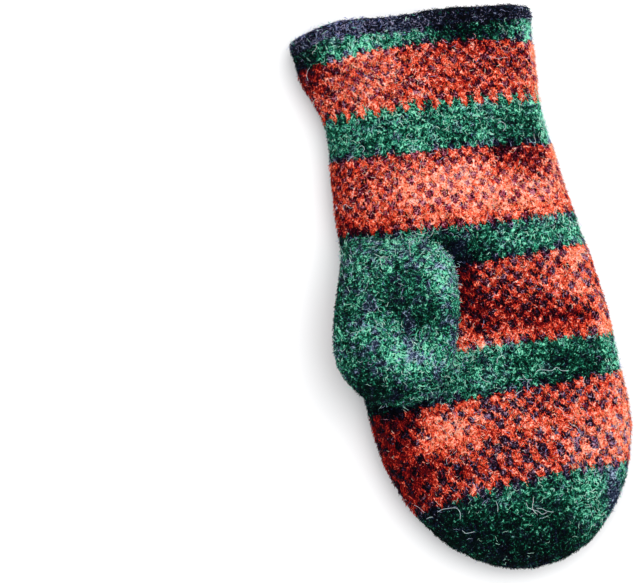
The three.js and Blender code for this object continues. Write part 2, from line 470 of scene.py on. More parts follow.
# x, y, width and length of each soft place, and how much brighter, or below 0 darker, its wool is: mostly
# painted light and shade, such as painted shade beside and below the thumb, along the left edge and at the
# toe, and painted light along the right rim, and partly the wool's own lighter and darker places
palmPaintedLightAndTone = [
    (-2, -124, 34, 15, -1.1), (2, -136, 36, 7, -0.6), (-26, -112, 20, 12, -0.8), (-61, -75, 20, 34, -1.0),
    (-42, -91, 20, 12, -0.95), (-46, -51, 22, 9, -1.2), (-49, -64, 10, 14, -0.7), (8, -92, 16, 5, -0.3),
    (-36, -78.5, 12, 3.2, -0.8), (-17, -86, 11, 3, -0.7), (-40, 43, 18, 5, -0.4), (4, -132, 24, 8, -0.8),
    (0, 2, 8, 15, -1.2), (-2, 22, 12, 7, -1.0), (8, -8, 24, 12, -0.4), (12, -17, 14, 6, -0.5),
    (34, -21, 14, 6, -1.1), (54, -24, 12, 6, -1.1), (28, 123, 20, 8, -1.5), (-53, 116, 12, 14, -1.3),
    (42, 71, 12, 6, -0.6), (41, 57, 12, 8, -1.0), (44, -44, 18, 9, -0.6), (30, 106, 11, 12, -0.4),
    (2, 98, 14, 8, -0.25), (-53, 48, 11, 24, -0.6), (-40, 34, 16, 6, -0.5), (22, -114, 10, 12, -0.4),
    (-17, 37, 11, 5, -0.5), (12, 13, 8, 6, -0.6), (2, -73, 8, 8, -0.4), (-40, -62, 7, 6, -0.5),
    (46, -52, 14, 4, -0.6), (24, -39, 14, 5, -0.5), (12, -11, 8, 7, -0.6), (0, 14, 7, 8, -0.4),
    (20, 61, 14, 4, -0.4), (-34, -113, 12, 10, -0.6), (-51, -72, 7, 7, -0.6), (44, 48, 8, 6, -0.5),
    (-30, 106, 22, 9, 0.6), (-10, 90, 14, 6, 0.3), (2, 48, 30, 14, 1.05), (40, 40, 20, 10, 0.75),
    (-24, -64, 18, 10, 0.6), (50, -80, 14, 12, 0.5), (39, -110, 6, 14, 0.4), (-22, 122, 20, 6, 0.8),
    (56, 0, 8, 24, 0.5), (6, -29, 16, 3.5, 0.7), (58, 88, 6, 34, 1.2), (66, -60, 6, 30, 0.7),
    (57, 63, 5, 14, 0.9), (56, -87, 7, 12, 0.6), (61, -27, 5, 10, 0.9), (-20, -91.5, 9, 3.5, 0.6),
]
# the same for how much of the navy stitches the felt hides, or below 0 lets through, added to the cover
# that follows the painted light and shade
palmCover = [
    (-23, -67, 15, 12, 0.5), (2, -65, 7, 8, -0.35), (-11, -84, 15, 3, -0.3), (-30, -88, 10, 5, 0.2),
]
# the same for how much navy wool shows through the green; its places beside and below the thumb put dark
# navy where there is painted shade
palmHeather = [
    (50, -109, 5, 16, 0.8), (-2, 18, 9, 8, 0.4), (-34, -48, 18, 5, 0.5), (40, -103, 7, 12, -0.4),
]
# The same for the thumb: painted highlight along its right edge and lower middle, painted shade at its tip
# and lower left, and partly its own blotches.
thumbPaintedLightAndTone = [
    (-30, -27, 15, 8, 0.9), (-8, 9, 6, 12, 0.9), (-35, 2, 12, 8, -0.6), (-57, -5, 6, 26, -0.6),
    (-50, -40, 18, 8, -0.8), (-40, 22, 16, 9, -0.15), (-20, -9, 11, 7, -0.7), (-42, -14, 10, 8, 0.3),
    (-50, -9, 7, 6, 0.5), (-55, -31, 9, 8, -0.4), (-26, 28, 12, 5, 0.4), (-26, -42, 14, 6, -0.3),
]
# The same for the rolled edge: painted shade over its right part and painted light on its left.
rollPaintedLightAndTone = [
    (32, 130, 27, 16, -0.9), (-60, 122, 8, 12, -0.5), (-26, 128, 22, 10, 0.5), (58, 130, 8, 12, 0.3),
]
chart = {
    "cuffLine": 131.0,  # where the first row starts
    "shades": (-1.5, 1.1),  # the darkest painted shade and the brightest painted light, with the wool's own tone
    "shadesFade": (-8, 4),  # how high over the hand's side the painted light and shade fade in
    # how much more navy the felt hides in painted light, and how much orange and green it loses to dark
    # navy in painted shade
    "coverByShade": 0.22,
    "blotches": [(0.25, 12, 8), (0.25, 5.5, 9)],
    "heather": [(0.6, 5, 12), (0.8, 2.4, 13)],
    "heatherEdge": (-0.25, 0.5),
}
back = {
    "rosetteRadius": 26,
    "petals": 6,
    "petalStart": 0.38,  # these four are shares of the radius
    "petalEnd": 0.76,
    "petalWave": 0.24,
    "heart": 0.23,
    "turns": (0.4, 0.7),  # how far each next row and column of rosettes is turned
    "columns": (-27, 28),
    "stagger": 5,
    "rows": (92, 36, -22, -80),
    "edge": 5,  # how far below the hand's side it starts
    "edgeWander": 1.2,
    # x, y, half width and half length of each leaf
    "leaves": [(0, 66, 11, 15), (-4, 6, 9, 16), (2, -50, 12, 14), (-2, -112, 17, 10), (34, -112, 9, 8),
               (-38, -46, 8, 9), (48, 66, 7, 10), (-44, 66, 6, 8), (52, -50, 6, 9)],
}


# The painted light and shade, with some of the wool's own tone, that a table of soft places gives, between
# the darkest and the brightest.
def paintedLightAndToneAt(places, x, y):
    return np.clip(sumAt(places, x, y), *chart["shades"])


# How the mixed wool drifts lighter and darker from place to place.
def blotches(points):
    return layeredNoise(points, chart["blotches"])


# Where navy wool shows through the green.
def heatherAt(points, amount):
    return amount * smoothStep(layeredNoise(points, chart["heather"]), *chart["heatherEdge"])


# The row that a point of the palm lies in, counted from the cuff with its fraction.
def palmRows(x, y):
    line = np.full(x.shape, chart["cuffLine"])
    count = 0
    row = np.zeros(x.shape)
    for words, (height, slope, curve), *_ in palmBands:
        rows = len(words.split())
        end = height + slope * x + curve * x * x
        share = (line - y) / np.maximum(line - end, 1)
        row = np.where(share >= 0, count + share * rows, row)
        count += rows
        line = end
    return row


# How far from the middle of its V a point lies, up to a half.
def legAt(across):
    return np.abs(across - np.floor(across) - 0.5)


# Each knitted stitch is a V, so a point belongs to the stitch whose slanted legs it lies in.
def stitchAt(across, row, wander):
    over = across + stitch["wander"] * wander[1]
    down = row + stitch["slant"] * legAt(across) + stitch["wander"] * wander[0]
    column, line = np.floor(over), np.floor(down)
    rim = 4 * ((over - column - 0.5) ** 2 + (down - line - 0.5) ** 2)
    return column.astype(int), line.astype(int), rim


# How much orange and green there is at each place, and how plum its navy is. The fuzz of the stitches
# beside it hides part of a navy stitch, and where there is less cover, navy shows through the others.
# The cover follows the painted light and shade, so painted shade shows as more dark navy.
def palmChart(column, line, rim, cover, chance):
    words = [word for band, *_ in palmBands for word in band.split()]
    plum, veil = np.array([look for band, _, *look in palmBands for word in band.split()]).T
    letters = np.array([list(word) for word in words])
    line = np.clip(line, 0, len(words) - 1)
    own, beside = letters[line, column % 2], letters[line, (column + 1) % 2]
    rim = stitch["rim"] * np.clip(rim - stitch["dot"], 0, 1)
    byCover, kept = stitch["kept"]
    hidden = np.clip(veil[line] + cover + rim + stitch["hiddenChance"] * chance[0] ** 5, 0, stitch["most"])
    lost = np.clip(-byCover * cover - kept + stitch["lostChance"] * chance[1] ** 3, 0, stitch["most"])

    def amount(dye):
        return np.where(own == dye, 1 - lost, hidden * (own == "x") * (beside == dye))

    return amount("."), amount("g"), plum[line]


def backChart(across, along):
    orange = np.zeros(across.shape)
    green = np.zeros(across.shape)
    for r, rowY in enumerate(back["rows"]):
        for c, columnX in enumerate(back["columns"]):
            dx, dy = across - columnX, along - rowY - back["stagger"] * (1 if c else -1)
            far = np.hypot(dx, dy) / back["rosetteRadius"]
            angle = np.arctan2(dy, dx) + back["turns"][0] * r + back["turns"][1] * c
            end = back["petalEnd"] + back["petalWave"] * np.cos(back["petals"] * angle)
            orange[((far > back["petalStart"]) & (far < end)) | (far < back["heart"])] = 1
    for leafX, leafY, wide, long in back["leaves"]:
        inside = ((across - leafX) / wide) ** 2 + ((along - leafY) / long) ** 2 < 1
        green[inside & (orange < 0.5)] = 1
    return orange, green, 0 * orange


# Rings of points from the mouth to the toe, at a depth below the hand's own surface.
def handRings(depth, straight, toe, count):
    tip = hand["toeStart"] - hand["toeLength"] + depth
    places = stations(hand["mouthY"], hand["toeStart"], tip, straight, toe)
    return places, *evenRings(lambda y, angle: handPoints(y, angle, depth), places, count)


def toePoint(depth):
    y = hand["toeStart"] - hand["toeLength"] + depth
    middle, _, side, *_ = handSection(np.array(y), depth)
    return [float(middle), y, float(side)]


def makeHand():
    widest = max(right - left for _, left, right, *_ in hand["sections"])

    def layer(depth, rings):
        places, made, around = handRings(depth, *rings)
        left, right, *_ = handAt(places)
        return made, around / (stitch["wide"] * (right - left) / widest)[:, None]

    outer, outerAround = layer(hand["inset"], hand["outerRings"])
    inner, innerAround = layer(hand["wall"], hand["innerRings"])
    tips = toePoint(hand["inset"]), toePoint(hand["wall"])
    piece = makeObject("handFelt", *lofted(np.concatenate([outer[::-1], inner]), *tips))
    across = np.concatenate([outerAround[::-1].ravel(), innerAround.ravel(), [0, 0]])
    isOuter = np.concatenate([np.ones(outerAround.size), np.zeros(innerAround.size), [1, 0]])
    setAttributes(piece.data, across=across, outer=isOuter)
    return piece


# Charts the hand. At each vertex "warm" is how plum the navy wool is, "leg" how far the hair turns with
# the leg of the stitch that it grows on, and the brightness attribute is mostly painted light and shade,
# with the wool's own random tone.
def chartHand(piece):
    mesh = piece.data
    points = positions(mesh)
    x, y, z = points.T
    across = readAttribute(mesh, "across")
    wander = [noiseAt(points, stitch["wanderSize"], seed) for seed in (3, 4)]
    row = palmRows(x, y)
    column, line, rim = stitchAt(across, row, wander)
    rows, columns = stitch["chances"]
    chance = np.random.default_rng(7).random((3, rows, columns))[:, line % rows, column % columns]
    side = handSection(y)[2]
    # The palm side's painted light and shade from its table, with random blotches, each stitch's random
    # tone and a painted highlight on each loop's crown.
    shade = paintedLightAndToneAt(palmPaintedLightAndTone, x, y) * smoothStep(z - side, *chart["shadesFade"]) + blotches(points)
    legs = legAt(across)
    loop = np.sin(math.pi * (row + stitch["slant"] * legs - line)) * (1 - legs)
    shade = shade + stitch["toneChance"] * (chance[2] - 0.5)
    shade = shade + stitch["loopPaintedHighlight"] * (np.clip(loop, 0, 1) - 0.5)
    # Painted light hides more navy stitches, and painted shade loses more orange and green to dark navy.
    cover = chart["coverByShade"] * shade + sumAt(palmCover, x, y)
    palm = palmChart(column, line, rim, cover, chance)
    flowers = backChart((column + 0.5) * stitch["wide"], y + (row - line - 0.5) * stitch["high"])
    isPalm = (z - side) > -back["edge"] + back["edgeWander"] * wander[0]
    inside = readAttribute(mesh, "outer") < 0.5
    for name, onPalm, onBack in zip(("orange", "green", "warm"), palm, flowers):
        amount = np.where(isPalm, onPalm, onBack)
        setAttributes(mesh, **{name: np.where(inside, stitch["inside"] * amount, amount)})
    heather = heatherAt(points, hand["heather"]) + sumAt(palmHeather, x, y)
    half = np.sign(0.5 - (across - np.floor(across)))
    leg = stitch["turn"] * half * np.where(z > side, 1, -1)
    setAttributes(mesh, row=row, shade=shade, heather=np.clip(heather, 0, 1), leg=leg)


def makeThumb():
    tip = thumb["tipStart"] + thumb["tipLength"]
    start = thumb["sections"][0][0]

    def form(name, depth, straight, tipRings, count):
        places = stations(start, thumb["tipStart"], tip - depth, straight, tipRings)
        rings, around = evenRings(lambda along, angle: thumbPoints(along, angle, depth), places, count)
        ends = thumbPoints(np.array([[start], [tip - depth]]), np.array([[0.0, math.pi]]), depth)
        piece = makeObject(name, *lofted(rings, *ends.mean(1)))
        rows = np.append(np.repeat(places, count), [start, tip])
        across = np.append(around, [0, 0]) / stitch["wide"]
        setAttributes(piece.data, across=across, row=rows / stitch["high"])
        return piece

    outer = form("thumbFelt", thumb["inset"], *thumb["rings"])
    return outer, form("thumbHollow", thumb["wall"], *thumb["hollowRings"])


# The hand with its room filled, which the thumb is cut against.
def makeHandFilled(depth):
    _, rings, _ = handRings(depth, *hand["filledRings"])
    mouth = [0, hand["mouthY"], float(handSection(np.array(hand["mouthY"]))[2])]
    return makeObject("handFilled", *lofted(rings, mouth, toePoint(depth)))


def makeRolledEdge():
    count = rolledEdge["aroundRoll"]
    angles = np.linspace(0, full, rolledEdge["around"], endpoint=False)
    y = np.array(hand["mouthY"])
    outer = handPoints(y, angles, 0.0)
    inner = handPoints(y, angles, float(hand["wall"]))
    wall = unit((outer - inner) * [1, 0, 1])
    uneven = rolledEdge["uneven"] * np.cos(rolledEdge["swells"] * angles / 2) ** 2
    radius = rolledEdge["radius"] - uneven
    centre = outer - wall * rolledEdge["seat"]
    slope = mouthShift(centre[:, 0] + 1, y) - mouthShift(centre[:, 0], y)
    centre[:, 1] += (radius + rolledEdge["gap"]) * np.hypot(1, slope)
    cornerX, cornerWidth, depth = rolledEdge["drawnIn"]
    centre -= wall * (depth * mound(centre[:, 0] - cornerX, cornerWidth))[:, None]
    centre[:, 2] = np.maximum(centre[:, 2], radius)
    turn = np.linspace(0, full, count, endpoint=False)[None, :, None]
    size = (radius - rolledEdge["inset"])[:, None, None]
    fullness = np.where((np.cos(turn) > 0) & (np.sin(turn) < 0), rolledEdge["squared"], 2)
    outwards, along = power(np.cos(turn), 2 / fullness), power(np.sin(turn), 2 / fullness)
    rings = centre[:, None] + size * (wall[:, None] * outwards + np.array([0, 1, 0]) * along)
    piece = makeObject("rollFelt", *lofted(rings, closed=True))
    run = np.cumsum(np.linalg.norm(np.diff(centre, axis=0, append=centre[:1]), axis=1))
    rows = np.tile(np.arange(count) * rolledEdge["radius"] * full / count, len(run))
    across = np.repeat(run, count) / stitch["wide"]
    setAttributes(piece.data, across=across, row=rows / stitch["high"])
    return piece


def makeShells():
    palm = makeHand()
    tube, hollow = makeThumb()
    filled = makeHandFilled(hand["inset"] - thumb["gap"])
    points = positions(palm.data)
    swell, low, high = hand["swell"]
    cornerX, cornerWidth, depth = rolledEdge["drawnIn"]
    swell = swell - depth * mound(points[:, 0] - cornerX, cornerWidth)
    raised = layeredNoise(points, hand["bumps"]) + swell * smoothStep(points[:, 1], low, high)
    displace(palm.data, raised * readAttribute(palm.data, "outer"))
    cutAway(palm, ("across", "outer"), hollow)
    cutAway(tube, ("across", "row"), hollow, filled)
    roll = makeRolledEdge()
    for piece, form, places in ((tube, thumb, thumbPaintedLightAndTone), (roll, rolledEdge, rollPaintedLightAndTone)):
        points = positions(piece.data)
        displace(piece.data, layeredNoise(points, form["bumps"]))
        # Painted light and shade of the thumb and the roll from their tables, with random blotches.
        shade = paintedLightAndToneAt(places, points[:, 0], points[:, 1]) + blotches(points)
        setAttributes(piece.data, shade=shade, heather=heatherAt(points, form["heather"]))
    remove(hollow, filled)
    return palm, tube, roll


# Node trees. A Wire is one output socket, and arithmetic on it adds Math nodes.
class Graph:
    def __init__(self, tree):
        self.tree = tree

    def add(self, kind, settings=None, sockets=None, output=0):
        node = self.tree.nodes.new(kind)
        for name, value in (settings or {}).items():
            if name == "stops":
                setStops(node.color_ramp, value)
            else:
                setattr(node, name, value)
        for name, value in (sockets or {}).items():
            if isinstance(value, Wire):
                self.tree.links.new(value.socket, node.inputs[name])
            else:
                node.inputs[name].default_value = value
        return Wire(self, node.outputs[output])

    def math(self, operation, first, second=0.0):
        return self.add("ShaderNodeMath", {"operation": operation}, {0: first, 1: second})

    def mixColour(self, share, first, second):
        settings = {"data_type": "RGBA", "clamp_factor": True}
        return self.add("ShaderNodeMix", settings, {0: share, 6: first, 7: second}, 2)


class Wire:
    def __init__(self, graph, socket):
        self.graph, self.socket = graph, socket

    def output(self, name):
        return Wire(self.graph, self.socket.node.outputs[name])

    def __add__(self, other):
        return self.graph.math("ADD", self, other)

    def __sub__(self, other):
        return self.graph.math("SUBTRACT", self, other)

    def __rsub__(self, other):
        return self.graph.math("SUBTRACT", other, self)

    def __mul__(self, other):
        return self.graph.math("MULTIPLY", self, other)

    __radd__ = __add__
    __rmul__ = __mul__

    def between(self, low, high):
        settings = {"interpolation_type": "SMOOTHSTEP"}
        sockets = {"Value": self, "From Min": low, "From Max": high}
        return self.graph.add("ShaderNodeMapRange", settings, sockets)


def setStops(ramp, stops):
    while len(ramp.elements) > 1:
        ramp.elements.remove(ramp.elements[-1])
    ramp.elements[0].position = stops[0][0]
    ramp.elements[0].color = (*stops[0][1], 1)
    for at, colour in stops[1:]:
        ramp.elements.new(at).color = (*colour, 1)


# Each dye's colours, from the darkest wool to the lightest; the tone that picks among them carries painted
# light and shade.
wool = {
    "orange": [(0.0, (0.05, 0.002, 0.004)), (0.25, (0.35, 0.012, 0.01)), (0.5, (0.88, 0.073, 0.032)),
               (0.72, (1.0, 0.2, 0.1)), (0.9, (1.0, 0.42, 0.27)), (1.0, (1.0, 0.6, 0.5))],
    "green": [(0.0, (0.001, 0.003, 0.004)), (0.28, (0.002, 0.025, 0.015)), (0.5, (0.006, 0.1, 0.058)),
              (0.75, (0.03, 0.32, 0.19)), (1.0, (0.25, 0.74, 0.5))],
    "navy": [(0.0, (0.001, 0.001, 0.002)), (0.4, (0.003, 0.004, 0.009)), (0.65, (0.016, 0.016, 0.036)),
             (0.85, (0.07, 0.065, 0.13)), (1.0, (0.3, 0.28, 0.42))],
    "slate": [(0.0, (0.002, 0.003, 0.008)), (0.35, (0.01, 0.014, 0.032)), (0.6, (0.04, 0.055, 0.11)),
              (0.85, (0.14, 0.19, 0.32)), (1.0, (0.35, 0.45, 0.6))],
    "plum": [(0.0, (0.003, 0.0005, 0.002)), (0.4, (0.03, 0.002, 0.005)), (0.65, (0.12, 0.009, 0.02)),
             (0.85, (0.34, 0.05, 0.09)), (1.0, (0.65, 0.22, 0.28))],
}
felt = {
    # size, detail, distortion and offset of each noise
    "grain": (0.8, 2.0, 0.0, 0.0),
    "tuft": (2.4, 2.0, 0.5, 0.0),
    "drift": (13, 2.0, 0.0, 0.0),
    "fleck": (1.3, 2.0, 0.6, 4.1),
    # the same for each of the matted strands, then its width in the noise and how much lighter it is, a
    # painted highlight against the painted shade of the gaps between strands
    "strands": [
        (3.2, 1.5, 0.8, 3.1, 0.06, 0.3),
        (2.5, 1.5, 0.8, 7.7, 0.065, 0.26),
        (2.0, 1.5, 0.8, 13.9, 0.07, 0.24),
    ],
    # How much each adds to the tone. The loop's part is a painted highlight on its crown.
    "tones": {"grain": 0.6, "tuft": 0.55, "drift": 0.3, "loop": 0.14, "less": 1.05},
    "heights": {"matting": 0.5, "grain": 0.35, "tuft": 0.55, "loop": 0.3},
    "loopFade": 1.2,  # how it fades towards the sides of its stitch
    "blur": (0.7, 0.6, 0.2),  # of the pattern's edges by tufts, grain and strands
    "strandMean": 0.3,
    "heatherBlur": 0.8,  # of its edges by grain
    "fleckBlur": 0.3,  # of its edges by tufts
    # where each colour starts and is full
    "heatherEdge": (0.2, 0.8),
    "greenEdge": (0.4, 0.6),
    "orangeEdge": (0.5, 0.68),
    "fleckEdge": (0.6, 0.68),
    "fleckShare": 0.25,
    "contrast": 1.8,
    "tone": 0.5,
    "shading": 0.38,
    "relief": 1.0,
    "reliefDepth": 1.1,
}


# A material whose Principled shader has these values.
def newMaterial(name, values):
    material = bpy.data.materials.new(name)
    material.use_nodes = True
    for socket, value in values.items():
        material.node_tree.nodes["Principled BSDF"].inputs[socket].default_value = value
    return material


def feltMaterial(name, base):
    material = newMaterial(name, {"Roughness": 0.95, "Specular IOR Level": 0.0, "Sheen Weight": 0.02})
    graph = Graph(material.node_tree)
    shader = material.node_tree.nodes["Principled BSDF"]
    place = graph.add("ShaderNodeTexCoord").output("Object")

    def cloud(size, detail, distortion, offset):
        sockets = {0: place, 1: (offset, offset, offset)}
        moved = graph.add("ShaderNodeVectorMath", {"operation": "ADD"}, sockets)
        sockets = {"Vector": moved, "Scale": 1 / (size * mm), "Detail": detail, "Distortion": distortion}
        return graph.add("ShaderNodeTexNoise", {"normalize": True}, sockets)

    def attribute(called):
        return graph.add("ShaderNodeAttribute", {"attribute_name": called}).output("Fac")

    grain, tuft, drift = (cloud(*felt[kind]) for kind in ("grain", "tuft", "drift"))
    strands = []
    for *form, width, _ in felt["strands"]:
        near = graph.math("ABSOLUTE", cloud(*form) - 0.5)
        strands.append(near.between(width, 0.0))
    legs = graph.math("ABSOLUTE", graph.math("FRACT", attribute("across")) - 0.5)
    phase = graph.math("FRACT", attribute("row") + stitch["slant"] * legs)
    loop = graph.math("SINE", math.pi * phase) * (1 - felt["loopFade"] * legs)
    # The tone: matted strands lighter and the gaps between them darker, as painted highlight and shade of
    # the felt's relief, random grain, tufts and drift, a painted highlight on each loop's crown, and the
    # painted light and shade of the mesh's attribute.
    first, *others = (form[-1] * strand for form, strand in zip(felt["strands"], strands))
    matting = sum(others, first)
    part = felt["tones"]
    mixed = matting + part["grain"] * grain + part["tuft"] * tuft + part["drift"] * drift
    mixed = mixed + part["loop"] * loop - part["less"]
    tone = felt["contrast"] * mixed + felt["shading"] * attribute("shade") + felt["tone"]

    def dyed(kind):
        return graph.add("ShaderNodeValToRGB", {"stops": wool[kind]}, {"Fac": tone})

    heather = attribute("heather") + felt["heatherBlur"] * (grain - 0.5)
    heather = heather.between(*felt["heatherEdge"])
    heathered = graph.mixColour(heather, dyed("green" if base == "striped" else base), dyed("slate"))
    if base == "striped":
        byTuft, byGrain, byStrand = felt["blur"]
        blur = byTuft * (tuft - 0.5) + byGrain * (grain - 0.5)
        blur = blur + byStrand * (strands[1] - felt["strandMean"])
        plum = dyed("plum")  # as the navy stitches between orange ones look
        navy = graph.mixColour(attribute("warm"), dyed("navy"), plum)
        isGreen = (attribute("green") + blur).between(*felt["greenEdge"])
        isOrange = (attribute("orange") + blur).between(*felt["orangeEdge"])
        fleck = cloud(*felt["fleck"]) + felt["fleckBlur"] * (tuft - 0.5)
        fleck = fleck.between(*felt["fleckEdge"])
        orange = graph.mixColour(fleck * felt["fleckShare"], dyed("orange"), plum)
        colour = graph.mixColour(isOrange, graph.mixColour(isGreen, navy, heathered), orange)
    else:
        colour = heathered
    graph.tree.links.new(colour.socket, shader.inputs["Base Color"])
    part = felt["heights"]
    height = part["matting"] * matting + part["grain"] * grain + part["tuft"] * tuft + part["loop"] * loop
    sockets = {"Strength": felt["relief"], "Distance": felt["reliefDepth"] * mm, "Height": height}
    bump = graph.add("ShaderNodeBump", {}, sockets)
    graph.tree.links.new(bump.socket, shader.inputs["Normal"])
    return material


# Fuzz: a few curled fibres, scattered over the wool by one tree. Each dye has fibres of several tones,
# from shaded copies to lit copies, and the painted light and tone of a place is where it lies between
# them.
# The fibres of the kind leg lie along the legs of the stitches.
fuzz = {
    kind: dict(zip(("segments", "length", "radius", "curl", "shapes", "perSquare", "spread"), row))
    for kind, *row in (
        ("leg", 2, 2.5, 0.18, 0.8, 6, 1.5, 0.45),
        ("short", 2, 2.0, 0.2, 1.3, 6, 1.6, 1.8),
        ("curly", 4, 2.9, 0.135, 1.7, 8, 0.46, 3.2),
        ("wisp", 5, 4.8, 0.09, 1.9, 8, 0.085, 3.2),
        ("pale", 4, 3.4, 0.095, 1.8, 8, 0.17, 3.2),
        ("stray", 10, 12, 0.09, 1.5, 6, 0.0007, 3.2),
    )
}
growth = {
    "lean": 0.65,  # how far the fibres rise from the wool at most, in radians
    "longest": 1.0,
    "lifts": (0.12, -1.0),  # from what to what they do so by chance, as shares of lean
    "rolls": (-0.6, 0.6),  # the same to their sides, in radians
    "sizes": (0.55, 1.0),  # the same for their size, as shares of longest
    "rise": (-0.12, 0.22),  # of a fibre's segments
    "toneSpread": 0.52,  # how far the tones of a dye mix
    "atFloor": (0.3, 0.8, 3),  # the share at the floor, and the heights from which it rises and is full
    "wispsInDark": (0.12, -1.1, 0.5),  # the same for the pale wisps in painted shade, by the painted light and tone
    "orangeEdge": (0.4, 0.85),  # where in the pattern's fading edge orange fuzz starts and is full
    "greenEdge": (0.4, 0.9),
    "clearance": 0.1,  # over the floor
}
tones = {
    # the painted light and tone that it grows at, name, fibre and base colour, from dark to light: the
    # darker tones are shaded copies of the dye and the lighter ones lit copies
    "orange": [
        (-1.1, "fuzzMaroon", "leg", (0.19, 0.004, 0.005)),
        (-0.62, "fuzzRed", "leg", (0.54, 0.02, 0.014)),
        (-0.24, "fuzzOrange", "leg", (0.9, 0.076, 0.03)),
        (0.18, "fuzzBright", "leg", (1.0, 0.195, 0.07)),
        (0.78, "fuzzPeach", "leg", (1.0, 0.45, 0.24)),
    ],
    "green": [
        (-1.4, "fuzzForest", "short", (0.0008, 0.006, 0.004)),
        (-0.8, "fuzzDeepGreen", "short", (0.0015, 0.017, 0.008)),
        (-0.25, "fuzzGreen", "short", (0.008, 0.11, 0.062)),
        (0.25, "fuzzTeal", "curly", (0.12, 0.66, 0.46)),
        (0.65, "fuzzMint", "curly", (0.62, 1.0, 0.85)),
    ],
    "slate": [
        (-0.6, "fuzzDusk", "short", (0.007, 0.01, 0.026)),
        (0.1, "fuzzSlate", "short", (0.035, 0.06, 0.11)),
        (0.75, "fuzzMist", "curly", (0.15, 0.26, 0.39)),
    ],
    "plum": [
        (-0.3, "fuzzPlum", "leg", (0.08, 0.004, 0.011)),
        (0.6, "fuzzMauve", "leg", (0.38, 0.022, 0.055)),
        (1.3, "fuzzRose", "leg", (0.7, 0.13, 0.2)),
    ],
    "navy": [
        (-0.5, "fuzzInk", "short", (0.003, 0.005, 0.01)),
        (0.1, "fuzzNavy", "short", (0.02, 0.031, 0.08)),
        (0.7, "fuzzLilac", "curly", (0.19, 0.24, 0.55)),
    ],
}
# The longer pale hairs over each dye: their kind and colour.
wisps = {
    "orange": ("pale", (1.0, 0.76, 0.62)),
    "green": ("wisp", (0.55, 0.92, 0.78)),
    "slate": ("wisp", (0.5, 0.6, 0.82)),
    "plum": ("wisp", (0.68, 0.26, 0.32)),
    "navy": ("wisp", (0.4, 0.43, 0.68)),
}
strayColour = (0.85, 0.85, 0.9)
# Long light hairs that lie loose on the palm's side: x and y of the places that each bends through.
looseHairs = {
    "radius": 0.1,
    "rise": 1.3,  # above the wool below the fuzz
    "colour": (0.6, 0.72, 0.76),
    "paths": [
        [(7.8, -38.3), (8.5, -36), (10, -35.1), (11.4, -35.2), (12.3, -36.8)],
        [(-1.6, -41.2), (-0.7, -43.6), (0.9, -45.2), (3.1, -46.4)],
        [(24.7, -46.3), (26.5, -45.2), (29.3, -45.8), (32.5, -46.8), (35.2, -45.8), (37.2, -47.8),
         (40.5, -48.5)],
        [(18.5, -45.5), (19.9, -48.3), (22.7, -48.9)],
        [(12.6, -55), (14.3, -53.9), (16.9, -53)],
        [(47.9, -52.7), (46.5, -54.9), (46.8, -57.9)],
        [(-40.1, -104.2), (-38.6, -103.6), (-36.9, -103.7)],
        [(-34.5, -101.8), (-32, -100.9), (-29.1, -100.9), (-25.2, -101.5), (-23.9, -104.2),
         (-24.6, -107.5)],
        [(-24.6, -112.6), (-23.4, -114.3), (-21.6, -114.5), (-18.7, -114.4)],
        [(7.7, -105.5), (8.2, -108.1), (10.3, -109.8), (12.5, -111), (14.1, -112.8), (16.6, -112.3)],
        [(11.8, -109.3), (14.6, -110.2), (16.7, -111.9), (19.9, -113)],
        [(-6.2, -102.1), (-5.8, -104.6), (-6.4, -107.4)],
        [(32, 73.3), (33.6, 74), (35.3, 72.6), (35.4, 70.7), (33.6, 69.1)],
        [(-38.6, 25), (-36.5, 23.4), (-34.4, 21.9), (-31.9, 22.1)],
        [(-20.9, 27.6), (-21.5, 23.4), (-22, 20)],
        [(-41.7, 70.4), (-39.9, 71.9), (-37.8, 72.5)],
        [(-34.6, 76.2), (-33.1, 76.4), (-32.4, 74.8), (-33.8, 73.1)],
    ],
}
slots = {
    "orange": "striped_wool",
    "plum": "striped_wool",
    "green": "green_wool",
    "slate": "green_wool",
    "navy": "navy_wool",
}


# Vertices and faces of a three-sided hair, pointed at both ends. Its sections stand upright or square
# to its path.
def hairForm(path, radius, upright):
    along = unit(path[2:] - path[:-2])
    sideways = unit(np.cross(along, [0, 0, 1]))
    upwards = np.array([[0, 0, 1]]) if upright else np.cross(sideways, along)
    angles = np.arange(3)[:, None] * full / 3
    ring = np.cos(angles) * sideways[:, None] + np.sin(angles) * upwards[:, None]
    return lofted(path[1:-1, None] + radius * ring, path[0], path[-1])


def fibreShape(name, form, seed):
    rng = np.random.default_rng(seed)
    count = form["segments"]
    heading = np.cumsum(rng.normal(0, form["curl"] / math.sqrt(count), count))
    steps = np.stack([np.cos(heading), np.sin(heading), rng.uniform(*growth["rise"], count)], axis=-1)
    path = np.vstack([[0, 0, 0], np.cumsum(steps, axis=0)]) * form["length"] / count
    points, faces = hairForm(path, form["radius"], upright=False)
    return makeObject(name, points * mm, faces)


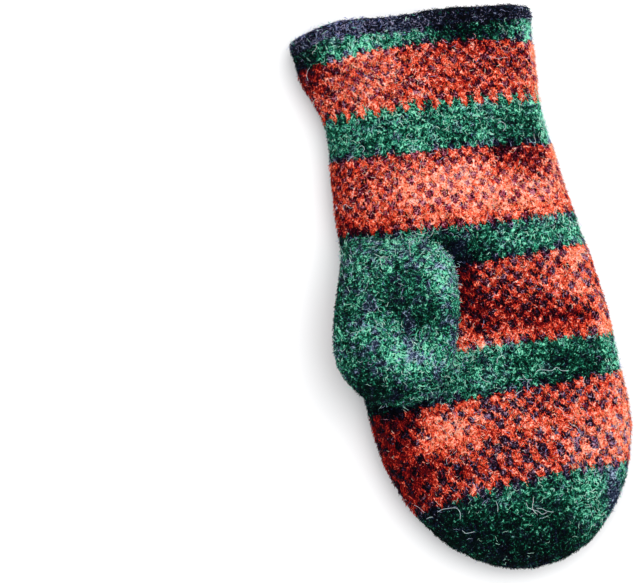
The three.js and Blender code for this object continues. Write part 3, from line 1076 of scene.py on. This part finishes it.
def fuzzTree():
    tree = bpy.data.node_groups.new("fuzz", "GeometryNodeTree")
    inputs = {
        "Wool": "Geometry",
        "Amount": "String",
        "Per Square Metre": "Float",
        "Lean": "Float",
        "Spread": "Float",
        "Longest": "Float",
        "Fibres": "Collection",
        "Seed": "Int",
        "Colour": "Material",
    }
    for name, kind in inputs.items():
        tree.interface.new_socket(name, in_out="INPUT", socket_type="NodeSocket" + kind)
    tree.interface.new_socket("Fuzz", in_out="OUTPUT", socket_type="NodeSocketGeometry")
    graph = Graph(tree)
    given = graph.add("NodeGroupInput")
    seed = given.output("Seed")

    def field(name):
        return graph.add("GeometryNodeInputNamedAttribute", {"data_type": "FLOAT"}, {"Name": name})

    def chance(low, high, step):
        sockets = {2: low, 3: high, "Seed": seed + step}
        return graph.add("FunctionNodeRandomValue", {"data_type": "FLOAT"}, sockets, 1)

    def turned(rotation, turn):
        sockets = {"Rotation": rotation, "Rotate By": turn}
        return graph.add("FunctionNodeRotateRotation", {"rotation_space": "LOCAL"}, sockets)

    density = field(given.output("Amount")) * given.output("Per Square Metre")
    points = graph.add(
        "GeometryNodeDistributePointsOnFaces",
        {"distribute_method": "RANDOM"},
        {"Mesh": given.output("Wool"), "Density": density, "Seed": seed},
    )
    along = graph.add(
        "FunctionNodeAlignRotationToVector",
        {"axis": "X", "pivot_axis": "Z"},
        {"Rotation": points.output("Rotation"), "Vector": (0, -1, 0)},
    )
    turn = field("leg") + chance(-1.0, 1.0, 1) * given.output("Spread")
    spin = graph.add("ShaderNodeCombineXYZ", {}, {"Z": turn})
    lift = chance(*growth["lifts"], 2) * given.output("Lean")
    lean = graph.add("ShaderNodeCombineXYZ", {}, {"X": chance(*growth["rolls"], 4), "Y": lift})
    kinds = graph.add(
        "GeometryNodeCollectionInfo",
        {},
        {"Collection": given.output("Fibres"), "Separate Children": True, "Reset Children": True},
    )
    placed = graph.add(
        "GeometryNodeInstanceOnPoints",
        {},
        {"Points": points, "Instance": kinds, "Pick Instance": True,
         "Rotation": turned(turned(along, spin), lean),
         "Scale": chance(*growth["sizes"], 3) * given.output("Longest")},
    )
    whole = graph.add("GeometryNodeRealizeInstances", {}, {"Geometry": placed})
    sockets = {"Geometry": whole, "Material": given.output("Colour")}
    coloured = graph.add("GeometryNodeSetMaterial", {}, sockets)
    end = tree.nodes.new("NodeGroupOutput")
    tree.links.new(coloured.socket, end.inputs[0])
    return tree


def fuzzMaterial(name, colour):
    values = {"Base Color": (*colour, 1), "Roughness": 0.8, "Specular IOR Level": 0.0}
    return newMaterial(name, values)


def makeFuzz(emitter):
    tree = fuzzTree()
    given = [item for item in tree.interface.items_tree if item.in_out == "INPUT"]
    identifiers = {item.name: item.identifier for item in given}
    collections = {}
    for kind, form in fuzz.items():
        held = bpy.data.collections.new("fibres " + kind)
        for number in range(form["shapes"]):
            fibre = fibreShape(f"{kind}Fibre{number}", form, 31 + 7 * number)
            bpy.context.scene.collection.objects.unlink(fibre)
            held.objects.link(fibre)
        collections[kind] = held
    wanted = []
    for dye, row in tones.items():
        wanted += [(name, name, kind, colour, slots[dye]) for _, name, kind, colour in row]
    wanted += [("wisps" + dye.title(), dye, *wisp, slots[dye]) for dye, wisp in wisps.items()]
    wanted.append(("strayHairs", "allWool", "stray", strayColour, "navy_wool"))
    made = []
    for number, (name, amount, kind, colour, slot) in enumerate(wanted):  # each has a seed of its own
        carrier = addObject(name, emitter.data.copy())
        modifier = carrier.modifiers.new("fuzz", "NODES")
        modifier.node_group = tree
        inputs = {
            "Amount": amount,
            "Per Square Metre": fuzz[kind]["perSquare"] / mm**2,
            "Lean": growth["lean"],
            "Spread": fuzz[kind]["spread"],
            "Longest": growth["longest"],
            "Fibres": collections[kind],
            "Seed": 100 + 10 * number,
            "Colour": fuzzMaterial(name, colour),
        }
        for socket, value in inputs.items():
            modifier[identifiers[socket]] = value
        bake(carrier)
        carrier.data.shade_smooth()
        raiseFibres(carrier.data, kind)
        made.append((carrier, slot))
        triangles = sum(len(p.vertices) - 2 for p in carrier.data.polygons)
        print(f"{name}: {triangles} triangles")
    for held in collections.values():
        remove(*held.objects)
        bpy.data.collections.remove(held)
    return made


# The loose hairs, laid on the wool from above.
def makeLooseHairs(emitter, shift):
    mesh = emitter.data
    corners = [p.vertices for p in mesh.polygons]
    surface = bvhtree.BVHTree.FromPolygons([v.co for v in mesh.vertices], corners)
    points, faces = [], []
    for path in looseHairs["paths"]:
        bends = smoothTable([(n, *place) for n, place in enumerate(path)])
        line = (np.stack(bends(np.linspace(0, len(path) - 1, 5 * len(path))), axis=-1) + shift[:2]) * mm
        heights = [surface.ray_cast(Vector((x, y, 0.2)), Vector((0, 0, -1)))[0].z for x, y in line]
        smooth = np.convolve(np.pad(heights, 2, mode="edge"), np.full(5, 0.2), mode="valid")
        line = np.column_stack([line, smooth + looseHairs["rise"] * mm])
        hair, sides = hairForm(line, looseHairs["radius"] * mm, upright=True)
        faces += [[len(points) + corner for corner in side] for side in sides]
        points += list(hair)
    piece = makeObject("looseHairs", points, faces)
    piece.data.materials.append(fuzzMaterial("looseHairs", looseHairs["colour"]))
    return piece


# Fibres that would dip into the floor are raised onto it.
def raiseFibres(mesh, kind):
    perFibre = 2 + 3 * (fuzz[kind]["segments"] - 1)
    points = positions(mesh).reshape(-1, perFibre, 3)
    lowest = points[:, :, 2].min(axis=1)
    points[:, :, 2] += np.maximum(0, growth["clearance"] * mm - lowest)[:, None]
    mesh.vertices.foreach_set("co", points.ravel())
    mesh.update()


# The wool's surfaces as one mesh, with how much hair of each colour grows where.
def fuzzEmitter(pieces):
    points, faces, amounts = [], [], defaultdict(list)
    count = 0
    atFloor, low, high = growth["atFloor"]
    inDark, dark, bright = growth["wispsInDark"]
    for piece, outer, orange, green, warm in pieces:
        mesh = piece.data
        places = positions(mesh)
        shade = readAttribute(mesh, "shade")
        share = outer * (atFloor + (1 - atFloor) * smoothStep(places[:, 2], low * mm, high * mm))
        orange = smoothStep(orange, *growth["orangeEdge"])
        green = smoothStep(green, *growth["greenEdge"])
        bare = np.clip(1 - orange - green, 0, 1)
        heather = readAttribute(mesh, "heather") * (green if piece is not roll else bare)
        dyes = {
            "orange": orange,
            "green": green - heather * green,
            "plum": bare * warm,
            "navy": bare * (1 - warm) * (1 - heather),
            "slate": heather,
        }
        points.append(places)
        faces += [[count + v for v in p.vertices] for p in mesh.polygons]
        count += len(places)
        # Each tone of a dye grows where the painted light and tone of the place is near its own, and the
        # pale wisps thin out in painted shade.
        for dye, row in tones.items():
            level = np.clip(shade, row[0][0], row[-1][0])
            near = [mound(level - tone, growth["toneSpread"]) for tone, *_ in row]
            for part, (_, name, *_) in zip(near, row):
                amounts[name].append(dyes[dye] * share * part / sum(near))
            lit = inDark + (1 - inDark) * smoothStep(shade, dark, bright)
            amounts[dye].append(dyes[dye] * share * lit)
        amounts["allWool"].append(share)
        amounts["leg"].append(readAttribute(mesh, "leg") if "leg" in mesh.attributes else 0 * share)
    emitter = makeObject("woolSurface", np.vstack(points), faces)
    setAttributes(emitter.data, **{name: np.concatenate(parts) for name, parts in amounts.items()})
    return emitter


# Whether points of the palm lie under the thumb.
def underThumb(points):
    turn, (rootX, rootY) = thumb["turn"], thumb["root"]
    x, y, z = points.T
    along = -(x - rootX) * math.sin(turn) - (y - rootY) * math.cos(turn)
    side = (x - rootX) * math.cos(turn) - (y - rootY) * math.sin(turn)
    rowSide, rowHalf, _, _ = thumbAt(along)
    share = np.clip((along - thumb["tipStart"]) / thumb["tipLength"], 0, 1)
    fromSide, fromTip, height = thumb["hides"]
    inside = np.abs(side - rowSide) < (rowHalf - fromSide) * closing(share, 2)
    tip = thumb["tipStart"] + thumb["tipLength"] - fromTip
    return inside & (along > 0) & (along < tip) & (z > height)


# The photograph's right and up, on the floor.
def photoAxes():
    turn = photo["turn"]
    return Vector((math.cos(turn), -math.sin(turn), 0)), Vector((math.sin(turn), math.cos(turn), 0))


def makeCamera(shift):
    right, up = photoAxes()
    offsetX = (photo["width"] / 2 - photo["middle"][0]) * photo["pixel"]
    offsetY = (photo["middle"][1] - photo["height"] / 2) * photo["pixel"]
    middle = right * offsetX + up * offsetY
    distance = photo["width"] * photo["pixel"] * camera["lens"] / camera["sensor"]
    data = bpy.data.cameras.new("camera")
    data.lens = camera["lens"]
    data.sensor_width = camera["sensor"]
    data.clip_end = camera["farthest"]
    made = addObject("camera", data)
    above = Vector((shift[0], shift[1], camera["outlineHeight"] + distance))
    made.location = (Vector(middle) + above) * mm
    made.rotation_euler = (0, 0, -photo["turn"])
    bpy.context.scene.camera = made


stage = {
    "size": 3.0,
    "floor": (0.9, 0.9, 0.91),
    "roughness": 0.9,
    "world": 0.75,
    # name, way to it by the photograph's right, up and height, watts and size
    "lamps": [("key", 0.55, 0.5, 1.3, 15.0, 1.4), ("fill", -0.8, -0.2, 1.2, 1.6, 1.2)],
    "lampDistance": 1.1,
}


def makeStage():
    half = stage["size"] / 2
    corners = [(-half, -half, 0), (half, -half, 0), (half, half, 0), (-half, half, 0)]
    mesh = bpy.data.meshes.new("floor")
    mesh.from_pydata(corners, [], [(0, 1, 2, 3)])
    paper = {"Base Color": (*stage["floor"], 1), "Roughness": stage["roughness"]}
    mesh.materials.append(newMaterial("paleFloor", paper))
    addObject("floor", mesh)
    world = bpy.data.worlds.new("studio")
    world.use_nodes = True
    background = world.node_tree.nodes["Background"]
    background.inputs["Color"].default_value = (1, 1, 1, 1)
    background.inputs["Strength"].default_value = stage["world"]
    bpy.context.scene.world = world
    right, up = photoAxes()
    for name, toRight, toUp, height, watts, size in stage["lamps"]:
        way = right * toRight + up * toUp + Vector((0, 0, height))
        data = bpy.data.lights.new(name, "AREA")
        data.energy = watts
        data.size = size
        light = addObject(name, data)
        light.location = way.normalized() * stage["lampDistance"]
        light.rotation_euler = way.to_track_quat("Z", "Y").to_euler()
    bpy.context.scene.view_settings.view_transform = "Standard"


# Amounts that are the same all over a piece.
def evenly(piece, *amounts):
    return [np.full(len(piece.data.vertices), float(amount)) for amount in amounts]


shift = frameShift()
makeCamera(shift)
makeStage()
palm, tube, roll = makeShells()
print("shells are lofted and cut")
chartHand(palm)
covered = underThumb(positions(palm.data))
for piece in (palm, tube, roll):
    putInFrame(piece, shift)
print("stitches are charted")

for piece, base in ((palm, "striped"), (tube, "green"), (roll, "navy")):
    piece.data.materials.clear()
    piece.data.materials.append(feltMaterial(base + "Wool", base))

grown = readAttribute(palm.data, "outer") * ~covered
emitter = fuzzEmitter([
    (palm, grown, *(readAttribute(palm.data, name) for name in ("orange", "green", "warm"))),
    (tube, *evenly(tube, 1, 0, thumb["green"], 0)),
    (roll, *evenly(roll, 1, 0, rolledEdge["green"], 0)),
])
fibres = makeFuzz(emitter)
fibres.append((makeLooseHairs(emitter, shift), "green_wool"))
remove(emitter)

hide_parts("hand")
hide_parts("thumb")
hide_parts("rolled_edge")
for piece, slot in [(palm, "striped_wool"), (tube, "green_wool"), (roll, "navy_wool"), *fibres]:
    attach(piece, "root")
print("pieces ride on the root")
